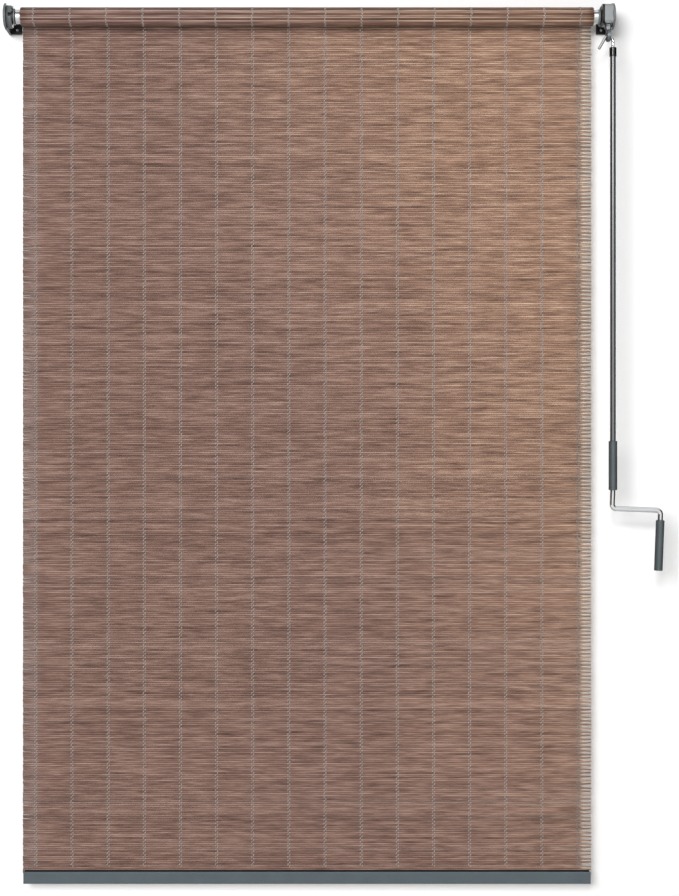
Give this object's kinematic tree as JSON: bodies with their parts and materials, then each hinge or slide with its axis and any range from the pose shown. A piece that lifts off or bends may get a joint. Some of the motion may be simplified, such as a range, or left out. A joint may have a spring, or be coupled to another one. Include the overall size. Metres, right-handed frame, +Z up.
{
  "type": "outdoor roller shade",
  "caption": "Outdoor roller shade: a woven reed mat on a tube between wall brackets, raised by a hook-on crank pole through a worm gear and kept flat by a bottom rail.",
  "frame": {"origin": "on the wall plane, at the centre of the pattern of wall screws, level with the roller axis", "axes": "+X along the roller towards the gear end, +Y into the wall, +Z up"},
  "size_m": [1.4041, 0.0849, 1.8854],
  "materials": {
    "bearing_bronze": "sintered",
    "black_gloss": "moulded, gloss",
    "black_moulding": "moulded",
    "bright_steel": "zinc plated",
    "cap_moulding": "moulded",
    "cast_metal": "die-cast, plain",
    "chromed_wire": "chrome plated",
    "coated_steel": "powder coat",
    "cover_moulding": "moulded, fine texture",
    "gear_nylon": "moulded nylon",
    "grey_moulding": "moulded, fine texture",
    "grip_moulding": "moulded, satin",
    "housing_metal": "die-cast, satin paint",
    "pole_metal": "satin grey",
    "rail_coating": "powder-coated aluminium",
    "reed": "split reed, dyed brown, matt",
    "tube_aluminium": "mill finish",
    "warp_thread": "twisted polyester thread"
  },
  "bodies": {
    "mounting": {"idle_bracket": "coated_steel", "idle_hub": "cover_moulding", "idle_bush": "gear_nylon", "idle_hub_screws": "bright_steel", "idle_cover": "cover_moulding", "drive_bracket": "coated_steel", "drive_bracket_screws": "bright_steel", "drive_cover": "cover_moulding", "gear_housing": "housing_metal", "gear_cover": "black_moulding", "gear_cover_screws": "bright_steel", "wheel_bush": "gear_nylon", "worm_bush_top": "bearing_bronze", "worm_bush_low": "bearing_bronze", "shade_panel": "reed", "panel_threads": "warp_thread"},
    "roller": {"roller_tube": "tube_aluminium", "idle_plug": "grey_moulding", "idle_pin": "bright_steel", "drive_plug": "grey_moulding", "drive_shaft": "bright_steel", "worm_wheel": "gear_nylon", "shade_roll": "reed"},
    "worm_shaft": {"worm": "bright_steel", "crank_eye": "cast_metal", "eye_pin": "bright_steel"},
    "pole": {"crank_hook": "chromed_wire", "pole_cap": "black_gloss", "crank_pole": "pole_metal", "crank_rod": "chromed_wire", "handle_stop": "bright_steel"},
    "upper_grip": {"upper_grip": "grip_moulding"},
    "handle": {"handle_grip": "grip_moulding"},
    "rail": {"bottom_rail": "rail_coating", "hem_wedge": "black_moulding", "rail_cap_left": "cap_moulding", "rail_cap_right": "cap_moulding"}
  },
  "joints": [
    {"name": "crank_spin", "type": "hinge", "parent": "mounting", "child": "worm_shaft", "pos_m": [0.6345, -0.06126, 0.00324], "axis": [0, 0.2079, 0.9781], "range_deg": [0, 19080]},
    {"name": "roller_spin", "type": "hinge", "parent": "mounting", "child": "roller", "pos_m": [0, -0.046, 0], "axis": [1, 0, 0], "range_deg": [0, 3180]},
    {"name": "rail_lift", "type": "slide", "parent": "mounting", "child": "rail", "axis": [0, 0, 1], "range_m": [0, 1.74], "deforming": ["shade_panel", "panel_threads"]},
    {"name": "pole_swing", "type": "hinge", "parent": "worm_shaft", "child": "pole", "pos_m": [0.6345, -0.07245, -0.0494], "axis": [-1, 0, 0], "range_deg": [0, 24]},
    {"name": "upper_grip_spin", "type": "hinge", "parent": "pole", "child": "upper_grip", "pos_m": [0.6441, -0.07245, -1.011], "axis": [0, 0, 1], "continuous": true},
    {"name": "handle_spin", "type": "hinge", "parent": "pole", "child": "handle", "pos_m": [0.74319, -0.07245, -1.10888], "axis": [0.0384, 0, 0.9993], "continuous": true}
  ],
  "couplings": [
    {"joint": "roller_spin", "follows": "crank_spin", "ratio": 0.16667},
    {"joint": "rail_lift", "follows": "crank_spin", "m_per_rad": 0.005225}
  ]
}
